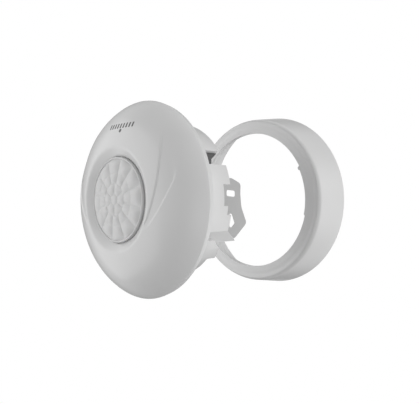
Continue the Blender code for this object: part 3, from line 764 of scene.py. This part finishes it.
def wiring_plate(skins, name, node, half):
    """Upright bracket plate with two slanting windows, and its ribbed foot; their grey colour is painted
    shade, white moulding darkened by the shade on the plate.
    """
    corners = [
        (18.3, 11.0), (40.6, 13.0), (49.2, 9.7), (48.8, 4.0), (49.8, -4.4),
        (54.7, -14.2), (43.2, -23.4), (33.0, -20.0), (18.3, -14.0),
    ]
    plate = turn_half(Shape().prism(rounded(corners, 2.2, 6), "X", 32.7, 34.0, 0.3), half)
    made = plate.piece(name, skins["grey"], "head", "grey_plastic", [node])
    windows = Shape()
    slot = [(36.5, 5.8), (43.7, 5.4), (43.7, 1.7), (36.5, 2.2)]
    gusset = [(39.0, -8.2), (40.9, -8.2), (43.5, -14.0), (40.4, -16.6), (39.0, -16.0)]
    windows.prism(rounded(slot, 1.3, 6), "X", 31.0, 35.0)
    windows.prism(rounded(gusset, 0.7, 5), "X", 31.0, 35.0)
    windows.vertices = [(x, y + 34.0 - x, z) for x, y, z in windows.vertices]
    cut_with(made, turn_half(windows, half), name + "_windows")
    foot = Shape().block((26.0, 33.0), (17.8, 19.8), (-12.0, 8.0), 0.5)
    rib = [(18.3, -2.8), (18.3, -1.2), (29.0, -1.2), (29.0, -2.8)]
    foot.prism(rib, "X", 31.8, 33.0)
    turn_half(foot, half).piece(name + "_foot", skins["grey"], "head", "grey_plastic")
    return made


def entry_wedge(skins, name, node, half):
    """Soft plug that fills the notch in the skirt and bulges back over its upper part; its near-black
    colour is painted shade for the shadow inside the notch.
    """
    low = CHANNEL[0] + 1.8
    high = CHANNEL[1] - 0.5
    bend = 30.0

    def front_at(angle):
        return 14.0 + 1.5 * (angle - low) / (high - low)

    def back_at(angle):
        gentle = min(1.0, (angle - low) / (bend - low))
        steep = max(0.0, (angle - bend) / (high - bend))
        return 17.6 + 1.4 * gentle + 6.2 * steep

    shape = Shape().sector(
        BOWL_INNER + 0.6, CHANNEL_RADIUS - 0.2, low, high, front_at, back_at, 40, 0.12)
    return turn_half(shape, half).piece(name, skins["rubber"], "head", "dark_rubber", [node])


def slotted_screw(skins, name, node, body, centre, seat, top, head_radius, shank_radius, tip):
    """Screw along Y with a domed, slotted head and a threaded shank."""
    away = 1.0 if top > seat else -1.0
    dome = [
        (head_radius, seat + away * 0.25), (head_radius, top - away * 0.55),
        (head_radius * 0.93, top - away * 0.25), (head_radius * 0.75, top - away * 0.06), (0.0, top),
    ]
    thread = []
    pitch = 0.5
    turns = int(abs(seat - tip) / pitch) - 1
    for step in range(turns):
        start = tip - (tip - seat) / abs(tip - seat) * (0.3 + pitch * step)
        thread += [(shank_radius * 0.86, start), (shank_radius, start + away * pitch / 2.0)]
    profile = [(0.0, tip), (shank_radius * 0.6, tip)] + thread
    profile += [(shank_radius * 0.9, seat), (head_radius * 0.94, seat)]
    shape = Shape().turned(profile + dome, 40, centre)
    made = shape.piece(name, skins["steel"], body, "zinc_steel", [node])
    slot = Shape()
    deep = top - away * 1.0
    low, high = sorted((deep, top + away * 1.0))
    slot.block((centre[0] - head_radius * 1.3, centre[0] + head_radius * 1.3), (low, high),
               (centre[1] - 0.33, centre[1] + 0.33), 0.0)
    cut_with(made, slot, name + "_slot")
    return made


def terminals(skins):
    """Terminal block with chambers and wells, its rising clamps and its screws."""
    block = Shape().block((-16.0, 16.0), (17.8, 29.8), (-7.0, 7.0), 0.6)
    made = block.piece("terminal_housing", skins["black"], "head", "black_plastic", ["terminal_block"])
    holes = Shape()
    for column in TERMINAL_COLUMNS:
        holes.block((column - 3.2, column + 3.2), (19.4, 25.4), (-9.0, 3.2), 0.4)
    cut_with(made, holes, "chambers")
    wells = Shape()
    for column in TERMINAL_COLUMNS:
        wells.prism(circle(2.8, (column, 0.0), 40), "Y", 24.9, 31.0)
    cut_with(made, wells, "wells")
    grooves = Shape()
    for column in (-5.0, 5.0):
        outline = [(28.9, 9.0), (31.0, 9.0), (31.0, -9.0), (18.8, -9.0), (18.8, -6.3), (28.9, -6.3)]
        grooves.prism(outline, "X", column - 0.35, column + 0.35)
    cut_with(made, grooves, "block_grooves")
    for index, column in enumerate(TERMINAL_COLUMNS):
        number = index + 1
        cage = Shape().block((column - 2.8, column + 2.8), (21.6, 24.0), (-2.8, 2.8), 0.3)
        node = "terminal_clamp_%d" % number
        clamp = cage.piece("clamp_plate_%d" % number, skins["brass"], node, "brass", [node])
        bore = Shape().prism(circle(1.5, (column, 0.0), 24), "Y", 20.0, 26.0)
        cut_with(clamp, bore, "clamp_bore_%d" % number)
        node = "terminal_screw_%d" % number
        slotted_screw(skins, "clamp_screw_%d" % number, node, node,
                      (column, 0.0), 26.0, 28.4, 2.4, 1.2, 20.2)


def tamper(skins):
    """Push switch: square body, collar and round-nosed plunger."""
    centre = (0.0, 30.0)
    body = Shape().block((-4.0, 4.0), (17.8, 25.2), (26.0, 34.0), 0.4)
    body.turned([(2.1, 25.0), (3.4, 25.0), (3.4, 26.0), (3.1, 26.3), (2.1, 26.3)], 40, centre)
    made = body.piece("tamper_housing", skins["black"], "head", "black_plastic", ["tamper_body"])
    bore = Shape().prism(circle(2.0, centre, 32), "Y", 19.6, 25.4)
    cut_with(made, bore, "tamper_bore")
    nose = [(0.0, 21.8), (1.5, 21.8), (1.7, 22.0), (1.7, 34.6)]
    nose += [(1.7 * math.cos(turn), 34.6 + 1.4 * math.sin(turn)) for turn in np.linspace(0.15, 1.4, 8)]
    Shape().turned(nose + [(0.0, 36.0)], 40, centre).piece(
        "tamper_button", skins["button"], "tamper_plunger", "button_plastic", ["tamper_plunger"])


# ---------------------------------------------------------------- electronics

def board(skins):
    """Round board with raised solder-masked tracks and pads."""
    back = BOARD_FRONT + BOARD_THICK
    corners = [(0.0, BOARD_FRONT), (BOARD_RADIUS, BOARD_FRONT), (BOARD_RADIUS, back), (0.0, back)]
    shape = Shape().turned(soft_profile(corners, [0.0, 0.15, 0.15, 0.0]), 200)
    shape.piece("circuit_board", skins["board"], "head", "circuit_board", ["main_board"])
    tracks = Shape()
    level = (BOARD_FRONT - 0.06, BOARD_FRONT + 0.2)
    for index in range(7):
        offset = -9.0 + 3.0 * index
        tracks.block((-33.0 + index, -14.0), level, (offset - 0.25, offset + 0.25), 0.0)
        tracks.block((15.0, 33.0 - index), level, (offset - 0.25, offset + 0.25), 0.0)
    for index in range(5):
        offset = -6.0 + 3.0 * index
        tracks.block((offset - 0.25, offset + 0.25), level, (-24.0 + abs(offset), -18.5), 0.0)
        tracks.block((offset - 0.25, offset + 0.25), level, (12.0, 22.0 - abs(offset) * 0.3), 0.0)
    tracks.piece("board_tracks", skins["copper"], "head", "circuit_board")
    pads = Shape()
    joint = [(0.0, BOARD_FRONT - 0.3), (0.5, BOARD_FRONT - 0.2),
             (1.0, BOARD_FRONT + 0.1), (0.0, BOARD_FRONT + 0.1)]
    for across, up in (
            (-30, 20), (-18, 20), (-30, 10), (-18, 10), (25, -6), (25, 5), (30, 14), (-33, -4)):
        for side in (-1.6, 1.6):
            pads.turned(joint, 20, (across + side, up + side * 0.5))
    pads.piece("solder_joints", skins["tin"], "head", "tin_plate")


def chip(skins, name, node, centre, size, thick, legs):
    """Flat package with formed legs on two sides and a round index mark."""
    back = BOARD_FRONT - 0.35
    body = Shape().block(
        (centre[0] - size[0] / 2, centre[0] + size[0] / 2), (back - thick + 0.3, back),
        (centre[1] - size[1] / 2, centre[1] + size[1] / 2), 0.25)
    made = body.piece(name, skins["black"], "head", "black_plastic", [node])
    mark = Shape().turned([(0.0, back - thick), (0.45, back - thick), (0.45, back - thick + 0.9),
                           (0.0, back - thick + 0.9)], 24,
                          (centre[0] - size[0] / 2 + 1.1, centre[1] + size[1] / 2 - 1.1))
    cut_with(made, mark, name + "_mark")
    feet = Shape()
    for index in range(legs):
        across = centre[0] + (index - (legs - 1) / 2.0) * 1.0
        for side in (-1.0, 1.0):
            edge = centre[1] + side * size[1] / 2
            near, far = sorted((edge - side * 0.1, edge + side * 0.75))
            feet.block((across - 0.2, across + 0.2), (back + 0.05, back + 0.22), (near, far), 0.05)
    feet.piece(name + "_legs", skins["tin"], "head", "tin_plate")


def capacitor(skins, name, node, centre):
    """Sleeved can with a bare, scored top."""
    back = BOARD_FRONT - GAP
    front = back - 10.5
    corners = [(0.0, back), (3.6, back), (3.6, back - 0.7), (4.0, back - 1.1), (4.0, front + 0.5),
               (3.5, front + 0.05), (0.0, front + 0.05)]
    shape = Shape().turned(soft_profile(corners, [0.0, 0.2, 0.3, 0.3, 0.3, 0.1, 0.0]), 60, centre)
    shape.piece(name, skins["sleeve"], "head", "black_plastic", [node])
    cap = Shape().turned([(0.0, front + 0.3), (3.3, front + 0.3), (3.3, front), (0.0, front)], 60, centre)
    made = cap.piece(name + "_top", skins["tin"], "head", "tin_plate")
    for number, (half_across, half_up) in enumerate(((2.4, 0.15), (0.15, 2.4)), 1):
        score = Shape().block(
            (centre[0] - half_across, centre[0] + half_across), (front - 0.5, front + 0.12),
            (centre[1] - half_up, centre[1] + half_up), 0.0)
        cut_with(made, score, name + "_score_%d" % number)


def sensor_can(skins):
    """Infrared can with its flange, its window and its spacer."""
    front = 2.9
    corners = [(0.0, 6.7), (4.9, 6.7), (4.9, 6.1), (4.1, 6.1),
               (4.1, front), (2.9, front), (2.9, front + 0.25), (0.0, front + 0.25)]
    shape = Shape().turned(soft_profile(corners, [0.0, 0.15, 0.15, 0.3, 0.45, 0.1, 0.0, 0.0]), 72)
    shape.piece("infrared_can", skins["steel"], "head", "zinc_steel", ["pyro_can"])
    window = Shape().block((-2.0, 2.0), (front + 0.05, front + 0.6), (-1.6, 1.6), 0.15)
    window.piece("infrared_window", skins["filter"], "head", "silicon_filter", ["pyro_window"])
    corners = [(1.2, 7.0), (5.6, 7.0), (5.6, 8.0), (1.2, 8.0)]
    Shape().turned(soft_profile(corners, [0.2] * 4), 60).piece(
        "can_spacer", skins["button"], "head", "white_plastic", ["pyro_spacer"])


def components(skins):
    """Relay, surge disc, capacitors, chips, light cell and indicator on the board's front."""
    back = BOARD_FRONT - GAP
    relay = Shape().block((-31.7, -16.3), (back - 12.0, back - 0.4), (9.8, 20.2), 0.5)
    relay.block((-31.4, -16.6), (back - 0.6, back), (10.1, 19.9), 0.3)
    relay.piece("relay_case", skins["black"], "head", "black_plastic", ["output_relay"])
    disc = Shape().prism(rounded([(-32.4, -5.6), (-23.6, -5.6), (-23.6, -2.4), (-32.4, -2.4)], 1.5, 6), "Y",
                         back - 9.0, back - 0.1, 0.6)
    disc.piece("surge_disc", skins["blue"], "head", "blue_plastic", ["surge_absorber"])
    capacitor(skins, "smoothing_can_1", "capacitor_1", (25.0, -6.0))
    capacitor(skins, "smoothing_can_2", "capacitor_2", (25.0, 5.0))
    chip(skins, "controller_package", "controller_chip", (0.0, -14.0), (7.0, 6.0), 1.4, 6)
    chip(skins, "amplifier_package", "amplifier_chip", (11.5, 5.0), (5.0, 3.4), 1.4, 4)
    cell = Shape().block((9.6, 12.4), (back - 1.5, back), (12.9, 15.1), 0.3)
    cell.piece("light_cell_case", skins["red"], "head", "red_plastic", ["light_cell"])
    nose = [(0.0, back), (1.5, back), (1.5, back - 0.5), (1.25, back - 0.6), (1.25, back - 3.2)]
    nose += [(1.25 * math.cos(turn), back - 3.2 - 1.25 * math.sin(turn))
             for turn in np.linspace(0.15, 1.4, 8)]
    Shape().turned(nose + [(0.0, back - 4.45)], 40, (-9.0, 8.0)).piece(
        "indicator_lens", skins["glow"], "head", "red_plastic", ["status_led"])


def trimmer(skins, name, centre):
    """Trimmer case with a round well, and its slotted, pointed dial."""
    x, z = centre
    case = Shape().block((x - 4.5, x + 4.5), (3.3, 8.0), (z - 4.5, z + 4.5), 0.4)
    made = case.piece(name + "_case", skins["blue"], "head", "blue_plastic", [name + "_body"])
    well = Shape().prism(circle(3.1, centre, 48), "Y", 2.0, 6.2)
    cut_with(made, well, name + "_well")
    corners = [(0.0, 2.6), (2.8, 2.6), (2.8, 5.8), (0.0, 5.8)]
    knob = Shape().turned(soft_profile(corners, [0.0, 0.3, 0.2, 0.0]), 48, centre)
    dial = knob.piece(name + "_knob", skins["button"], name, "button_plastic", [name])
    slot = Shape().block((x - 0.4, x + 0.4), (1.6, 3.6), (z - 2.1, z + 2.1), 0.1)
    cut_with(dial, slot, name + "_slot")
    arrow = Shape().prism([(x - 1.3, z + 1.2), (x + 1.3, z + 1.2), (x, z + 2.5)], "Y", 1.6, 3.1)
    cut_with(dial, arrow, name + "_arrow")


def dip_switch(skins):
    """Switch case with four slots and their sliding levers."""
    case = Shape().block((-5.8, 5.8), (3.6, 8.0), (22.9, 29.1), 0.3)
    made = case.piece("dip_case", skins["red"], "head", "red_plastic", ["dip_body"])
    slots = Shape()
    columns = [(index - 1.5) * DIP_PITCH for index in range(4)]
    for column in columns:
        slots.block((column - 0.8, column + 0.8), (2.0, 5.4), (24.0, 28.0), 0.15)
    cut_with(made, slots, "dip_slots")
    for index, column in enumerate(columns):
        node = "dip_slider_%d" % (index + 1)
        slider = Shape().block((column - 0.5, column + 0.5), (2.9, 5.0), (24.4, 25.6), 0.2)
        slider.piece("dip_lever_%d" % (index + 1), skins["button"], node, "button_plastic", [node])


def fasteners(skins):
    """Board screws, bracket screws and the pins from the board to the terminals."""
    for index, angle in enumerate(PILLAR_ANGLES):
        centre = on_circle(PILLAR_CIRCLE, angle)
        name = "board_screw_%d" % (index + 1)
        slotted_screw(skins, name + "_fine", name, "head", centre, 8.0, 6.5, 2.6, 1.2, 14.5)
    spots = [(side * 29.0, side * height) for side in (1, -1) for height in (-8.0, 4.0)]
    for index, centre in enumerate(spots):
        name = "bracket_screw_%d" % (index + 1)
        slotted_screw(skins, name + "_fine", name, "head", centre, 20.1, 21.4, 2.1, 1.0, 15.9)
    profile = [(0.0, 10.2), (0.45, 10.2), (0.58, 10.5), (0.58, 17.5), (0.0, 17.5)]
    for index, across in enumerate(TERMINAL_COLUMNS):
        name = "terminal_pin_%d" % (index + 1)
        pin = Shape().turned(profile, 20, (across, 4.0))
        pin.piece(name + "_fine", skins["tin"], "head", "tin_plate", [name])


# ---------------------------------------------------------------- stage

def studio_floor():
    """Pale floor far below the sensor; only the camera sees it, so light reaches every side."""
    mesh = bpy.data.meshes.new("studio_floor")
    mesh.from_pydata(
        [(-FLOOR_HALF, -FLOOR_HALF, FLOOR_LEVEL), (FLOOR_HALF, -FLOOR_HALF, FLOOR_LEVEL),
         (FLOOR_HALF, FLOOR_HALF, FLOOR_LEVEL), (-FLOOR_HALF, FLOOR_HALF, FLOOR_LEVEL)],
        [], [(0, 1, 2, 3)])
    floor = bpy.data.objects.new("studio_floor", mesh)
    bpy.context.scene.collection.objects.link(floor)
    floor.visible_diffuse = False
    floor.visible_glossy = False
    floor.visible_transmission = False
    floor.visible_shadow = False
    paper = bpy.data.materials.new("pale_floor")
    paper.use_nodes = True
    shader = paper.node_tree.nodes["Principled BSDF"]
    shader.inputs["Base Color"].default_value = (0.0, 0.0, 0.0, 1.0)
    shader.inputs["Specular IOR Level"].default_value = 0.0
    shader.inputs["Emission Color"].default_value = (1.0, 1.0, 1.0, 1.0)
    shader.inputs["Emission Strength"].default_value = 1.0
    mesh.materials.append(paper)


def direction(azimuth, elevation):
    """Unit vector at an azimuth from -Y towards +X and an elevation, in degrees."""
    turn = math.radians(azimuth)
    lift = math.radians(elevation)
    return Vector((math.sin(turn) * math.cos(lift), -math.cos(turn) * math.cos(lift), math.sin(lift)))


def math_node(tree, operation, first, second):
    """Math node between two sockets or numbers; gives its output socket."""
    node = tree.nodes.new("ShaderNodeMath")
    node.operation = operation
    for socket, value in zip(node.inputs, (first, second)):
        if isinstance(value, (int, float)):
            socket.default_value = value
        else:
            link(tree, value, socket)
    return node.outputs["Value"]


def studio_world():
    """Soft round glows all round, as from large diffusers; the camera sees plain white."""
    world = bpy.data.worlds.new("studio")
    bpy.context.scene.world = world
    world.use_nodes = True
    tree = world.node_tree
    looking = tree.nodes.new("ShaderNodeTexCoord").outputs["Generated"]
    total = 0.0
    for azimuth, elevation, strength in GLOWS:
        aim = tree.nodes.new("ShaderNodeVectorMath")
        aim.operation = "DOT_PRODUCT"
        link(tree, looking, aim.inputs[0])
        aim.inputs[1].default_value = direction(azimuth, elevation)
        away = math_node(tree, "SUBTRACT", aim.outputs["Value"], 1.0)
        glow = math_node(tree, "POWER", math.exp(GLOW_FOCUS), away)
        total = math_node(tree, "ADD", math_node(tree, "MULTIPLY", glow, strength), total)
    lit = tree.nodes["Background"]
    link(tree, total, lit.inputs["Strength"])
    lit.inputs["Color"].default_value = (1.0, 1.0, 1.0, 1.0)
    seen = tree.nodes.new("ShaderNodeBackground")
    seen.inputs["Color"].default_value = (1.0, 1.0, 1.0, 1.0)
    path = tree.nodes.new("ShaderNodeLightPath")
    blend = tree.nodes.new("ShaderNodeMixShader")
    link(tree, path.outputs["Is Camera Ray"], blend.inputs["Fac"])
    link(tree, lit.outputs["Background"], blend.inputs[1])
    link(tree, seen.outputs["Background"], blend.inputs[2])
    link(tree, blend.outputs["Shader"], tree.nodes["World Output"].inputs["Surface"])


def left_softbox():
    """Large rectangular diffuser, whose edge shows as a soft gloss on the dome."""
    light = bpy.data.lights.new("left_softbox", "AREA")
    light.shape = "RECTANGLE"
    light.size, light.size_y = SOFTBOX_SIZE
    light.energy = SOFTBOX_WATTS
    made = bpy.data.objects.new("left_softbox", light)
    target = Vector((0.0, (RIM + 30.0) * MM, 0.0))
    made.location = target + direction(SOFTBOX_AZIMUTH, 0.0) * SOFTBOX_DISTANCE
    made.rotation_euler = (target - made.location).to_track_quat("-Z", "Y").to_euler()
    bpy.context.scene.collection.objects.link(made)


def camera():
    """Level camera at the front right of the sensor, with a slight shift for its framing."""
    lens = bpy.data.cameras.new("studio_camera")
    lens.sensor_width = 36.0
    lens.lens = FOCAL_PIXELS * lens.sensor_width / FRAME_PIXELS
    lens.shift_y = HORIZON_SHIFT
    lens.clip_start = 0.01
    made = bpy.data.objects.new("studio_camera", lens)
    made.location = (CAMERA_SPOT[0] * MM, (CAMERA_SPOT[1] + RIM) * MM, CAMERA_SPOT[2] * MM)
    made.rotation_euler = (math.radians(90.0), 0.0, math.radians(CAMERA_AZIMUTH))
    bpy.context.scene.collection.objects.link(made)
    bpy.context.scene.camera = made
    bpy.context.scene.view_settings.view_transform = "Standard"
    bpy.context.scene.view_settings.look = "None"


# ---------------------------------------------------------------- build

camera()
studio_floor()
studio_world()
left_softbox()
skins = make_skins()
cover_shell(skins)
printed_mark(skins)
fresnel_lens(skins)
lens_clamp(skins)
bowl_housing(skins)
surface_ring(skins)
head_washer(skins)
wiring_plate(skins, "wiring_plate_right", "wiring_bracket_right", False)
wiring_plate(skins, "wiring_plate_left", "wiring_bracket_left", True)
entry_wedge(skins, "entry_wedge_right", "entry_plug_right", False)
entry_wedge(skins, "entry_wedge_left", "entry_plug_left", True)
terminals(skins)
tamper(skins)
board(skins)
sensor_can(skins)
components(skins)
trimmer(skins, "time_dial", (-12.0, -26.0))
trimmer(skins, "range_dial", (12.0, -26.0))
dip_switch(skins)
fasteners(skins)
